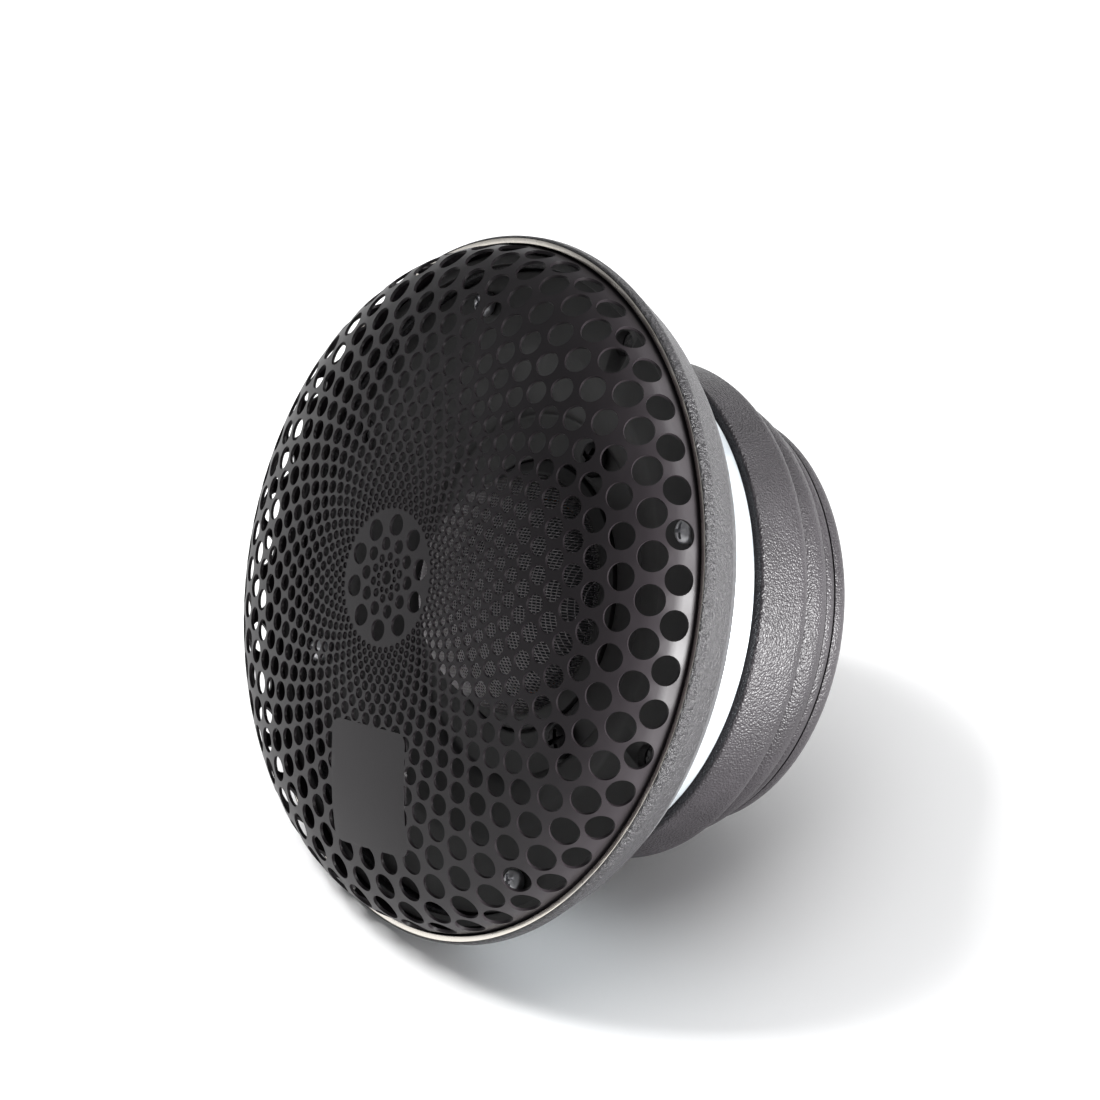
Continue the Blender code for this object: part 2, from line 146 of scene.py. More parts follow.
def shader_material(name, colour, metallic=0.0, roughness=0.5):
    """A Principled material and its parts: (material, node tree, shader)."""
    made = bpy.data.materials.new(name)
    made.use_nodes = True
    made.diffuse_color = (*colour, 1)
    tree = made.node_tree
    shader = tree.nodes["Principled BSDF"]
    shader.inputs["Base Color"].default_value = (*colour, 1)
    shader.inputs["Metallic"].default_value = metallic
    shader.inputs["Roughness"].default_value = roughness
    return made, tree, shader


def place_node(tree, kind, **values):
    node = tree.nodes.new(kind)
    for name, value in values.items():
        if name in node.inputs:
            node.inputs[name].default_value = value
        else:
            setattr(node, name, value)
    return node


def object_noise(tree, scale, detail=4.0, roughness=0.55, stretch=None):
    """Noise in object space; its scale is in cells per metre."""
    coords = tree.nodes.new("ShaderNodeTexCoord")
    source = coords.outputs["Object"]
    if stretch:
        mapping = place_node(tree, "ShaderNodeMapping", Scale=stretch)
        tree.links.new(source, mapping.inputs["Vector"])
        source = mapping.outputs["Vector"]
    noise = place_node(tree, "ShaderNodeTexNoise", Scale=scale, Detail=detail, Roughness=roughness)
    tree.links.new(source, noise.inputs["Vector"])
    return noise.outputs["Fac"]


def object_cells(tree, scale, smooth=0.6):
    coords = tree.nodes.new("ShaderNodeTexCoord")
    cells = tree.nodes.new("ShaderNodeTexVoronoi")
    cells.feature = "SMOOTH_F1"
    cells.inputs["Scale"].default_value = scale
    cells.inputs["Smoothness"].default_value = smooth
    tree.links.new(coords.outputs["Object"], cells.inputs["Vector"])
    return cells.outputs["Distance"]


def spread(tree, source, low, high, start=0.3, end=0.7):
    """Maps a 0 to 1 value onto low to high."""
    node = tree.nodes.new("ShaderNodeMapRange")
    node.inputs["From Min"].default_value = start
    node.inputs["From Max"].default_value = end
    node.inputs["To Min"].default_value = low
    node.inputs["To Max"].default_value = high
    tree.links.new(source, node.inputs["Value"])
    return node.outputs["Result"]


def vary_colour(tree, shader, source, dark, light, start=0.3, end=0.7):
    ramp = tree.nodes.new("ShaderNodeValToRGB")
    ramp.color_ramp.elements[0].position = start
    ramp.color_ramp.elements[0].color = (*dark, 1)
    ramp.color_ramp.elements[1].position = end
    ramp.color_ramp.elements[1].color = (*light, 1)
    tree.links.new(source, ramp.inputs["Fac"])
    tree.links.new(ramp.outputs["Color"], shader.inputs["Base Color"])


def vary_roughness(tree, shader, source, low, high):
    tree.links.new(spread(tree, source, low, high), shader.inputs["Roughness"])


def add_bump(tree, shader, height, distance, strength=1.0, under=None):
    bump = tree.nodes.new("ShaderNodeBump")
    bump.inputs["Strength"].default_value = strength
    bump.inputs["Distance"].default_value = distance
    tree.links.new(height, bump.inputs["Height"])
    if under:
        tree.links.new(under.outputs["Normal"], bump.inputs["Normal"])
    tree.links.new(bump.outputs["Normal"], shader.inputs["Normal"])
    return bump


def grille_paint():
    """Satin black powder coat: a very fine orange peel and slightly uneven gloss."""
    made, tree, shader = shader_material("grille_satin_black", (0.03, 0.027, 0.03), 0.0, 0.42)
    shader.inputs["Specular IOR Level"].default_value = 0.24
    blotches = object_noise(tree, 60, 3)
    vary_colour(tree, shader, blotches, (0.013, 0.0105, 0.0122), (0.019, 0.0158, 0.018))
    vary_roughness(tree, shader, blotches, 0.38, 0.46)
    add_bump(tree, shader, object_noise(tree, 2600, 2), 0.00002, 0.35)
    return made


def wrinkle_paint():
    """Black wrinkle finish: worm-like folds about half a millimetre apart. The colour is darker in the fold
    hollows and lighter on the crests, which is painted shade and painted light.
    """
    made, tree, shader = shader_material("ring_wrinkle_black", (0.02, 0.019, 0.021), 0.0, 0.34)
    fine = add_bump(tree, shader, object_noise(tree, 4200, 3, 0.6), 0.00004, 0.5)
    folds = object_noise(tree, 1500, 4, 0.62)
    add_bump(tree, shader, folds, 0.0006, 1.0, under=fine)
    # painted shade and light: the base colour follows the fold heights, dark in the hollows and light on
    # the crests
    vary_colour(tree, shader, folds, (0.006, 0.0055, 0.0065), (0.022, 0.0205, 0.023))
    vary_roughness(tree, shader, folds, 0.28, 0.4)
    return made


def pebble_plastic():
    """Moulded black rubberised plastic with a pebbled leather grain."""
    made, tree, shader = shader_material("cover_pebble_black", (0.02, 0.018, 0.02), 0.0, 0.42)
    shader.inputs["Specular IOR Level"].default_value = 0.32
    fine = add_bump(tree, shader, object_noise(tree, 5200, 3, 0.6), 0.00003, 0.5)
    pebbles = object_cells(tree, 3400)
    add_bump(tree, shader, pebbles, 0.00014, 0.9, under=fine)
    blotches = object_noise(tree, 90, 4)
    vary_colour(tree, shader, blotches, (0.012, 0.0105, 0.012), (0.022, 0.0195, 0.022))
    vary_roughness(tree, shader, pebbles, 0.32, 0.48)
    return made


def lip_metal():
    """The front lip's satin nickel, faintly warm."""
    made, tree, shader = shader_material("lip_satin_nickel", (0.72, 0.68, 0.62), 1.0, 0.25)
    blotches = object_noise(tree, 150, 4)
    vary_colour(tree, shader, blotches, (0.66, 0.62, 0.56), (0.76, 0.72, 0.66))
    vary_roughness(tree, shader, blotches, 0.2, 0.32)
    add_bump(tree, shader, object_noise(tree, 1500, 2), 0.00003, 0.3)
    return made


def zinc_plate():
    """Bright plated sheet with faint rolling lines round the can."""
    made, tree, shader = shader_material("can_bright_zinc", (0.74, 0.79, 0.82), 0.85, 0.32)
    spangle = object_noise(tree, 240, 4)
    vary_colour(tree, shader, spangle, (0.68, 0.74, 0.78), (0.8, 0.85, 0.88))
    vary_roughness(tree, shader, spangle, 0.26, 0.38)
    lines = object_noise(tree, 300, 3, 0.6, stretch=(1, 1, 40))
    add_bump(tree, shader, lines, 0.00002, 0.3)
    return made


def matte_plastic(name="moulding_matte_black", colour=(0.009, 0.008, 0.0085)):
    made, tree, shader = shader_material(name, colour, 0.0, 0.55)
    blotches = object_noise(tree, 120, 4)
    dark = tuple(0.8 * c for c in colour)
    light = tuple(1.3 * c for c in colour)
    vary_colour(tree, shader, blotches, dark, light)
    vary_roughness(tree, shader, blotches, 0.48, 0.62)
    add_bump(tree, shader, object_noise(tree, 3000, 2), 0.00003, 0.4)
    return made


def bare_metal(name, colour, roughness, grain=500):
    made, tree, shader = shader_material(name, colour, 1.0, roughness)
    streaks = object_noise(tree, grain, 4, 0.6)
    dark = tuple(0.88 * c for c in colour)
    light = tuple(min(1.0, 1.08 * c) for c in colour)
    vary_colour(tree, shader, streaks, dark, light)
    vary_roughness(tree, shader, streaks, roughness - 0.06, roughness + 0.08)
    add_bump(tree, shader, object_noise(tree, 3 * grain, 2), 0.00001, 0.3)
    return made


def soft_stuff(name, colour, scale, depth, sheen=0.2):
    """Felt, foam and coated silk: rough, with a fine fibrous or open-celled surface."""
    made, tree, shader = shader_material(name, colour, 0.0, 0.85)
    shader.inputs["Sheen Weight"].default_value = sheen
    fibres = object_noise(tree, scale, 5, 0.65)
    dark = tuple(0.7 * c for c in colour)
    light = tuple(1.4 * c for c in colour)
    vary_colour(tree, shader, fibres, dark, light)
    add_bump(tree, shader, fibres, depth, 0.7)
    return made


MATERIALS = {
    "grille_paint": grille_paint(),
    "wrinkle_paint": wrinkle_paint(),
    "cover_plastic": pebble_plastic(),
    "lip_metal": lip_metal(),
    "zinc": zinc_plate(),
    "matte_plastic": matte_plastic(),
    "terminal_plastic": matte_plastic("terminal_board_black", (0.025, 0.025, 0.026)),
    "wire_red": matte_plastic("wire_red", (0.45, 0.025, 0.02)),
    "wire_black": matte_plastic("wire_black", (0.02, 0.02, 0.02)),
    "kapton": matte_plastic("former_amber", (0.45, 0.2, 0.05)),
    "steel": bare_metal("screw_plated_steel", (0.6, 0.6, 0.62), 0.34),
    "black_steel": bare_metal("screw_black_oxide", (0.022, 0.021, 0.022), 0.5),
    "mesh_wire": bare_metal("guard_wire", (0.42, 0.4, 0.41), 0.38, 900),
    "copper": bare_metal("copper", (0.85, 0.45, 0.28), 0.3),
    "tin": bare_metal("tinned_brass", (0.72, 0.71, 0.68), 0.32),
    "ferrite": matte_plastic("magnet_ferrite", (0.05, 0.05, 0.053)),
    "silk": soft_stuff("coated_silk", (0.02, 0.02, 0.024), 2800, 0.00006, 0.1),
    "foam": soft_stuff("gasket_foam", (0.03, 0.03, 0.032), 1500, 0.0002),
    "felt": soft_stuff("pole_felt_grey", (0.3, 0.29, 0.28), 1800, 0.0002),
}


# ---------------------------------------------------------------- mesh helpers

def finish_piece(name, mesh, finish, body="root", replaces=(), angle=35):
    """Links a mesh given in the tweeter's frame as a piece that rides on a CAD body."""
    mesh.transform(TO_WORLD)
    mesh.materials.clear()
    mesh.materials.append(MATERIALS[finish])
    piece = bpy.data.objects.new(name, mesh)
    bpy.context.scene.collection.objects.link(piece)
    mesh.shade_smooth()
    mesh.set_sharp_from_angle(angle=math.radians(angle))
    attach(piece, body)
    if replaces:
        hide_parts(*replaces)
    return piece


def mesh_from(name, verts, faces):
    mesh = bpy.data.meshes.new(name)
    mesh.from_pydata(verts, [], faces)
    bm = bmesh.new()
    bm.from_mesh(mesh)
    bmesh.ops.remove_doubles(bm, verts=bm.verts, dist=1e-7)
    bmesh.ops.recalc_face_normals(bm, faces=bm.faces)
    bm.to_mesh(mesh)
    bm.free()
    return mesh


def rounded(profile, radius=0.15, steps=3, closed=True):
    """Rounds each corner of a profile with a short arc; radius is the largest cut on either side."""
    count = len(profile)
    points = []
    for i, corner in enumerate(profile):
        if not closed and i in (0, count - 1):
            points.append(corner)
            continue
        before, after = profile[i - 1], profile[(i + 1) % count]
        at = Vector(corner)
        to_before, to_after = Vector(before) - at, Vector(after) - at
        bend = to_before.angle(to_after, math.pi)
        if bend > math.radians(165) or corner[0] == 0:
            points.append(corner)
            continue
        cut = min(radius, to_before.length * 0.4, to_after.length * 0.4)
        start, end = at + to_before.normalized() * cut, at + to_after.normalized() * cut
        for k in range(steps + 1):
            share = k / steps
            p = start * (1 - share) ** 2 + at * 2 * share * (1 - share) + end * share ** 2
            points.append((p.x, p.y))
    return points


def turned_mesh(name, profile, sides=160, closed=True):
    """Turns a profile of (radius, depth) round the axis; points on the axis become one vertex."""
    verts, rows = [], []
    for r, depth in profile:
        if r < 1e-6:
            rows.append([len(verts)] * sides)
            verts.append((0, 0, -depth * MM))
            continue
        rows.append(list(range(len(verts), len(verts) + sides)))
        for i in range(sides):
            turn = TURN * i / sides
            verts.append((r * MM * math.cos(turn), r * MM * math.sin(turn), -depth * MM))
    faces = []
    pairs = list(zip(rows, rows[1:]))
    if closed:
        pairs.append((rows[-1], rows[0]))
    for a, b in pairs:
        for i in range(sides):
            j = (i + 1) % sides
            face = []
            for v in (a[i], a[j], b[j], b[i]):
                if v not in face:
                    face.append(v)
            if len(face) > 2:
                faces.append(face)
    return mesh_from(name, verts, faces)


def turned(name, finish, profile, body="root", replaces=(), sides=160, radius=0.15, angle=35):
    mesh = turned_mesh(name, rounded(profile, radius), sides)
    return finish_piece(name, mesh, finish, body, replaces, angle)


def on_circle(radius, degrees):
    turn = math.radians(degrees)
    return radius * math.cos(turn), radius * math.sin(turn)


def cut(piece, cutters):
    """Cuts closed cutter meshes, given in the tweeter's frame, out of a piece and applies the result."""
    bpy.context.view_layer.update()
    tools = bpy.data.collections.new(f"{piece.name}_cutters")
    for k, mesh in enumerate(cutters):
        mesh.transform(TO_WORLD)
        tools.objects.link(bpy.data.objects.new(f"{piece.name}_cutter_{k}", mesh))
    bpy.context.scene.collection.children.link(tools)
    step = piece.modifiers.new("cut", "BOOLEAN")
    step.operand_type = "COLLECTION"
    step.collection = tools
    step.solver = "EXACT"
    apply_modifiers(piece)
    for tool in list(tools.objects):
        bpy.data.objects.remove(tool)
    bpy.data.collections.remove(tools)


def apply_modifiers(piece):
    dg = bpy.context.evaluated_depsgraph_get()
    made = bpy.data.meshes.new_from_object(piece.evaluated_get(dg))
    piece.modifiers.clear()
    piece.data = made


def hole_cutter(name, radius, front, back, at, sides=32):
    mesh = turned_mesh(name, [(0, front), (radius, front), (radius, back), (0, back)], sides, closed=False)
    mesh.transform(Matrix.Translation((at[0] * MM, at[1] * MM, 0)))
    return mesh


def rounded_box(name, width, height, front, back, corner, steps=6):
    """A box with rounded upright corners, for the terminal pocket and the tabs."""
    verts = []
    ring = []
    for k, (sx, sy) in enumerate(((1, 1), (-1, 1), (-1, -1), (1, -1))):
        for i in range(steps + 1):
            turn = math.pi / 2 * (k + i / steps)
            x = sx * (width / 2 - corner) + corner * math.cos(turn)
            y = sy * (height / 2 - corner) + corner * math.sin(turn)
            ring.append((x, y))
    count = len(ring)
    for depth in (front, back):
        verts += [(x * MM, y * MM, -depth * MM) for x, y in ring]
    faces = [list(range(count)), list(range(count, 2 * count))]
    faces += [[i, (i + 1) % count, count + (i + 1) % count, count + i] for i in range(count)]
    return mesh_from(name, verts, faces)


# ---------------------------------------------------------------- grille

class DomeOutline:
    """The dome's outline by length along the sheet, so that holes keep their shape on the steep rim."""

    SKIRT = 2.4

    def __init__(self, steps=1200):
        points = []
        for i in range(steps + 1):
            turn = math.pi / 2 * i / steps
            r = GRILLE_RADIUS * math.sin(turn) ** (2 / GRILLE_EXPONENT)
            points.append((r, -GRILLE_HEIGHT * math.cos(turn) ** (2 / GRILLE_EXPONENT)))
        points.append((GRILLE_RADIUS, self.SKIRT))
        self.points = points
        self.lengths = [0.0]
        for a, b in zip(points, points[1:]):
            self.lengths.append(self.lengths[-1] + math.dist(a, b))
        self.total = self.lengths[-1]

    def at(self, length):
        """(radius, depth) at a length along the outline from the apex."""
        low, high = 0, len(self.lengths) - 1
        while high - low > 1:
            middle = (low + high) // 2
            if self.lengths[middle] <= length:
                low = middle
            else:
                high = middle
        span = self.lengths[high] - self.lengths[low]
        share = min(max((length - self.lengths[low]) / span, 0), 1)
        a, b = self.points[low], self.points[high]
        return a[0] + (b[0] - a[0]) * share, a[1] + (b[1] - a[1]) * share

    def length_at(self, r):
        """The length along the outline at which the dome reaches this radius."""
        low, high = 0.0, self.total - self.SKIRT
        for _ in range(40):
            middle = (low + high) / 2
            if self.at(middle)[0] < r:
                low = middle
            else:
                high = middle
        return low


OUTLINE = DomeOutline()


def grille_holes():
    """(length along the sheet, angle, hole radius) of every hole."""
    holes = [(0.0, 0.0, CENTRE_HOLE)]
    for r, hole, start in CLUSTER:
        for k in range(CLUSTER_HOLES):
            turn = math.radians(PATTERN_TURN + start + 360 / CLUSTER_HOLES * k)
            holes.append((OUTLINE.length_at(r), turn, hole))
    rings = [
        (WIDEST_REGULAR_RING / RING_RATIO ** k, k % 2, HOLE_SHARE * WIDEST_REGULAR_RING / RING_RATIO ** k)
        for k in range(INNER_RINGS)]
    for r, stagger, hole in rings + list(OUTER_RINGS):
        for k in range(HOLES_PER_RING):
            turn = math.radians(PATTERN_TURN + STAGGER[stagger] + 360 / HOLES_PER_RING * k)
            holes.append((OUTLINE.length_at(r), turn, hole))
    return holes


def flat_point(length, turn):
    return Vector((length * math.cos(turn), length * math.sin(turn)))


def hole_outline(length, turn, radius):
    """The hole's edge, round on the sheet, as points of the flattened sheet."""
    sides = 24 if radius > 1.0 else 16
    if length == 0:
        return [flat_point(radius, TURN * i / sides) for i in range(sides)]
    points = []
    for i in range(sides):
        a = TURN * i / sides
        along = length + radius * math.cos(a)
        points.append(flat_point(along, turn + radius * math.sin(a) / OUTLINE.at(along)[0]))
    return points


def badge_point(across, along):
    """A place on the flattened sheet, from its offsets from the badge's centre seen from the front."""
    x, y = BADGE_CENTRE[0] + across, BADGE_CENTRE[1] + along
    return flat_point(OUTLINE.length_at(math.hypot(x, y)), math.atan2(y, x) + math.radians(PATTERN_TURN))


def badge_outline(steps=6):
    """The blank badge field's rounded square, as points of the flattened sheet."""
    points = []
    inner = BADGE_HALF - BADGE_CORNER
    for k, (sx, sy) in enumerate(((1, 1), (-1, 1), (-1, -1), (1, -1))):
        for i in range(steps + 1):
            a = math.pi / 2 * (k + i / steps)
            offset = Vector((
                sx * inner + BADGE_CORNER * math.cos(a), sy * inner + BADGE_CORNER * math.sin(a)))
            offset.rotate(Matrix.Rotation(math.radians(BADGE_TURN), 2))
            points.append(badge_point(offset.x, offset.y))
    return points


def fill_points():
    """Extra points where the sheet has no holes, so that it stays smoothly domed there."""
    points = []
    for i in range(1, 7):
        length = PLAIN_DISC * i / 6
        points += [flat_point(length, TURN * k / 40) for k in range(40)]
    pitch = 1.0
    for i in range(-10, 11):
        for k in range(-10, 11):
            points.append(badge_point(i * pitch, k * pitch))
    rim_start = OUTLINE.total - DomeOutline.SKIRT + 0.6
    for i in range(3):
        length = rim_start + i * 0.6
        points += [flat_point(length, TURN * (k + 0.5) / RIM_SIDES) for k in range(RIM_SIDES)]
    return points


def grille_sheet():
    """Triangulates the flattened sheet round its holes and wraps it onto the dome."""
    holes = grille_holes()
    verts, faces = [], []

    def add_outline(points):
        faces.append(list(range(len(verts), len(verts) + len(points))))
        verts.extend(points)

    add_outline([flat_point(OUTLINE.total, TURN * i / RIM_SIDES) for i in range(RIM_SIDES)])
    add_outline(badge_outline())
    for hole in holes:
        add_outline(hole_outline(*hole))
    verts.extend(fill_points())
    made = delaunay_2d_cdt(verts, [], faces, 1, 1e-5)
    sheet_verts = []
    for p in made[0]:
        length = p.length
        r, depth = OUTLINE.at(length)
        turn = math.atan2(p.y, p.x)
        sheet_verts.append((r * MM * math.cos(turn), r * MM * math.sin(turn), -depth * MM))
    solid = [f for f, inside in zip(made[2], made[5]) if 1 in inside or list(inside) == [0]]
    mesh = bpy.data.meshes.new("grille_sheet")
    mesh.from_pydata(sheet_verts, [], solid)
    bm = bmesh.new()
    bm.from_mesh(mesh)
    loose = [v for v in bm.verts if not v.link_faces]
    bmesh.ops.delete(bm, geom=loose, context="VERTS")
    bmesh.ops.recalc_face_normals(bm, faces=bm.faces)
    if sum(f.normal.z for f in bm.faces) < 0:
        bmesh.ops.reverse_faces(bm, faces=bm.faces)
    bm.to_mesh(mesh)
    bm.free()
    return mesh


def make_grille():
    grille = finish_piece("grille_perforated", grille_sheet(), "grille_paint", "grille_cap", ["grille"])
    thick = grille.modifiers.new("sheet", "SOLIDIFY")
    thick.thickness = SHEET * MM
    thick.offset = -1
    edge = grille.modifiers.new("rolled_edge", "BEVEL")
    edge.width = 0.07 * MM
    edge.segments = 2
    edge.limit_method = "ANGLE"
    edge.angle_limit = math.radians(50)
    edge.harden_normals = True
    apply_modifiers(grille)
    turned(
        "grille_ring_smooth", "matte_plastic", [(44.2, 1.0), (45.6, 1.0), (45.6, 2.6), (44.2, 2.6)],
        "grille_cap", ["grille_ring"])


# ---------------------------------------------------------------- front

def screw_places():
    return [on_circle(FIXING_CIRCLE, SCREW_ANGLE + 90 * k) for k in range(4)]


def panel_hole_places():
    return [on_circle(FIXING_CIRCLE, SCREW_ANGLE + 45 + 90 * k) for k in range(4)]


def panel_cutters(name):
    return [hole_cutter(f"{name}_{k}", 1.8, 0, 12, at) for k, at in enumerate(panel_hole_places())]


def make_front():
    ring_line = [
        (46.9, 0.9), (47.7, 0.9), (47.7, 0.0), (48.0, 0.35), (48.0, 1.7), (44.7, 7.3), (44.3, RING_BACK),
        (33.8, RING_BACK), (33.8, 5.4), (43.9, 5.4), (43.9, 2.9), (46.9, 2.9),
    ]
    ring = turned(
        "trim_ring_wrinkled", "wrinkle_paint", ring_line, replaces=["trim_ring"], sides=240, radius=0.3)
    cut(ring, panel_cutters("ring_hole"))
    lip_line = [(LIP_INNER, 0.6), (LIP_INNER, 0.05), (LIP_OUTER, 0.05), (LIP_OUTER, 0.6)]
    turned("trim_lip_smooth", "lip_metal", lip_line, replaces=["trim_lip"], sides=240, radius=0.08)
    gasket = turned(
        "flange_gasket_foam", "foam", [(37.0, 7.95), (43.0, 7.95), (43.0, 9.4), (37.0, 9.4)],
        replaces=["flange_gasket"], radius=0.25)
    cut(gasket, panel_cutters("gasket_hole"))
    guide_line = [
        (43.4, 3.9), (43.6, 4.1), (43.6, 5.1), (33.4, 5.1), (27.0, 8.2), (26.1, 8.8), (25.7, 9.65),
        (18.5, 9.65), (18.5, 8.45), (24.5, 8.45), (24.9, 7.8), (25.6, 7.2), (32.9, 4.1), (33.8, 3.9),
    ]
    guide = turned("waveguide_smooth", "matte_plastic", guide_line, replaces=["waveguide"], radius=0.6)
    cut(guide, panel_cutters("guide_hole"))
    for k, (x, y) in enumerate(screw_places(), 1):
        make_screw(
            f"waveguide_screw_cross_{k}", "steel", (x, y), 2.05, 3.6, 1.75, 6.6, 37 * k,
            [f"waveguide_screw_{k}"])
    for k in range(3):
        at = on_circle(22.0, 90 + 120 * k)
        make_screw(f"motor_screw_cross_{k + 1}", "black_steel", at, 6.95, 8.15, 2.5, 12.5, 25 * k,
                   [f"motor_screw_{k + 1}"])


def make_screw(name, finish, at, top, seat, radius, back, turn, replaces):
    """A pan head with a cross recess."""
    line = [
        (0, top), (0.45 * radius, top + 0.05), (0.8 * radius, top + 0.3), (0.97 * radius, top + 0.7),
        (radius, seat - 0.15), (0.97 * radius, seat), (0.6 * radius, seat), (0.6 * radius, back), (0, back),
    ]
    mesh = turned_mesh(name, line, 40, closed=False)
    mesh.transform(Matrix.Translation((at[0] * MM, at[1] * MM, 0)))
    screw = finish_piece(name, mesh, finish, replaces=replaces)
    arms = []
    for k in range(2):
        arm = rounded_box(
            f"{name}_arm_{k}", 1.3 * radius, 0.3 * radius, top - 1, top + 0.7, 0.05 * radius, 2)
        arm.transform(Matrix.Rotation(math.radians(turn + 90 * k), 4, "Z"))
        arm.transform(Matrix.Translation((at[0] * MM, at[1] * MM, 0)))
        arms.append(arm)
    cut(screw, arms)
    screw.data.shade_smooth()
    screw.data.set_sharp_from_angle(angle=math.radians(35))


# ---------------------------------------------------------------- wire guard and dome

def guard_depth(r):
    share = min(r / GUARD_RADIUS, 1.0)
    return GUARD_BASE - GUARD_HEIGHT * math.sqrt(1 - share * share)


def make_guard():
    """Woven wire: two sets of round wires over the dome, each going over and under the other."""
    pitch, wire = 0.4, 0.068
    sides = 5
    verts, faces = [], []
    reach = int(GUARD_RADIUS / pitch)
    for across in (0, 1):
        for i in range(-reach, reach + 1):
            offset = i * pitch
            half = math.sqrt(max(GUARD_RADIUS ** 2 - offset ** 2, 0))
            if half < 1.5:
                continue
            count = max(8, int(2 * half / pitch) * 2)
            start = len(verts)
            for k in range(count + 1):
                along = half * math.sin(math.pi * (k / count - 0.5)) * 0.999
                x, y = (along, offset) if across else (offset, along)
                r = math.hypot(x, y)
                weave = WEAVE_RISE * math.cos(math.pi * (along / pitch + i)) * (1 if across else -1)
                centre = Vector((x, y, -(guard_depth(r) - weave)))
                rise = GUARD_RADIUS * math.sqrt(max(1 - (r / GUARD_RADIUS) ** 2, 0.001))
                normal = Vector((x, y, rise)).normalized()
                side = Vector((0, 1, 0)) if across else Vector((1, 0, 0))
                side = (side - normal * side.dot(normal)).normalized()
                for a in range(sides):
                    turn = TURN * a / sides
                    verts.append((centre + wire * (side * math.cos(turn) + normal * math.sin(turn))) * MM)
            for k in range(count):
                for a in range(sides):
                    b = (a + 1) % sides
                    row = start + k * sides
                    faces.append([row + a, row + b, row + sides + b, row + sides + a])
            faces.append([start + a for a in range(sides)])
            faces.append([start + count * sides + a for a in range(sides)])
    mesh = bpy.data.meshes.new("guard_weave")
    mesh.from_pydata(verts, [], faces)
    mesh.transform(Matrix.Rotation(math.radians(PATTERN_TURN), 4, "Z"))
    bm = bmesh.new()
    bm.from_mesh(mesh)
    bmesh.ops.recalc_face_normals(bm, faces=bm.faces)
    bm.to_mesh(mesh)
    bm.free()
    finish_piece("mesh_guard_woven", mesh, "mesh_wire", replaces=["mesh_guard"], angle=80)
    hoop = [(15.9, 7.35), (16.7, 7.35), (18.2, 8.15), (18.2, 9.05), (15.9, 9.05)]
    turned("guard_ring_smooth", "matte_plastic", hoop, replaces=["guard_ring"])


def make_dome():
    front = 9.35
    roll = [(14.45 + 1.15 * math.cos(a), front + 0.1 + 1.15 * math.sin(a))
            for a in [math.radians(-170 + 16 * k) for k in range(11)]]
    back = [(14.45 + 0.95 * math.cos(a), front + 0.1 + 0.95 * math.sin(a))
            for a in [math.radians(-10 - 16 * k) for k in range(11)]]
    line = [(13.25, front)] + roll + [(18.2, front), (18.2, front + 0.25), (15.4, front + 0.25)] + back
    line += [(13.25, front + 0.25)]
    turned("surround_smooth", "silk", line, replaces=["surround"], radius=0.05)
    base = front + 0.2
    quarter = [math.pi / 2 * k / 16 for k in range(17)]
    outer = [(13.0 * math.sin(a), base - 4.7 * math.cos(a)) for a in quarter]
    inner = [(12.8 * math.sin(a), base - 4.5 * math.cos(a)) for a in quarter]
    mesh = turned_mesh("dome_silk", outer + inner[::-1], 96, closed=False)
    finish_piece("dome_smooth", mesh, "silk", "diaphragm", ["dome_diaphragm"])


# ---------------------------------------------------------------- can and rear cover

def make_can():
    line = [
        (CAN_RADIUS, 7.95), (CAN_RADIUS, 20.2), (CAN_NECK, 20.6), (CAN_NECK, 27.2),
        (CAN_NECK - 0.8, CAN_BACK),
        (4.0, CAN_BACK), (4.0, 27.4), (31.5, 27.4), (31.5, 20.2), (32.9, 19.8), (32.9, 7.95),
    ]
    can = turned("shield_can_plated", "zinc", line, replaces=["shield_can"], radius=0.25, sides=240)
    cut(can, [
        hole_cutter(f"lead_hole_{k}", 1.4, 26, 29, on_circle(27.4, a)) for k, a in enumerate((60, 120))])


def arc(radius, centre, start, end, steps):
    """Points on a circle in the profile plane; 0 degrees faces outwards and 90 degrees rearwards."""
    turns = [math.radians(start + (end - start) * k / steps) for k in range(steps + 1)]
    return [(centre[0] + radius * math.cos(a), centre[1] + radius * math.sin(a)) for a in turns]


def make_cover():
    """Four crowned bands, each curving inwards before the next one starts, and the terminal pocket."""
    outer = rounded([(32.4, 20.8), (34.05, 20.8), (34.35, 21.2), (34.1, 27.6)], 0.3, 3, closed=False)
    outer += arc(2.5, (31.6, 27.6), 6, 80, 8) + [(30.4, 30.15)]
    outer += arc(4.0, (27.04, 32.85), -38, 66, 14) + [(28.4, 36.45)]
    outer += arc(2.0, (26.97, 36.82), -8, 70, 7) + [(27.6, 38.5)]
    outer += arc(3.0, (25.3, COVER_BACK - 3.0), -4, 90, 12)
    inner = [(0, 37.8), (27.0, 37.8), (27.0, 35.6), (28.3, 34.6), (28.3, 28.3), (32.4, 28.3)]
    line = inner + outer + [(0, COVER_BACK)]
    mesh = turned_mesh("cover_shell", line, 240, closed=False)
    cover = finish_piece("rear_cover_grained", mesh, "cover_plastic", replaces=["rear_cover"])
    cut(cover, [
        rounded_box("pocket", 34, 16, COVER_BACK - 2.8, 44, 2.5),
        rounded_box("window", 24, 10, 37, 44, 0.8),
    ])
    cover.data.shade_smooth()
    cover.data.set_sharp_from_angle(angle=math.radians(35))


def paint_cad_nodes():
    """Every CAD node that still shows gets the full material of its slot."""
    slots = {part["node"]: part["material_slot"] for part in frame["record"]["subparts"]}
    for name, node in frame["nodes"].items():
        if node.hide_render:
            continue
        node.data.materials.clear()
        node.data.materials.append(MATERIALS[slots[name]])


# ---------------------------------------------------------------- stage

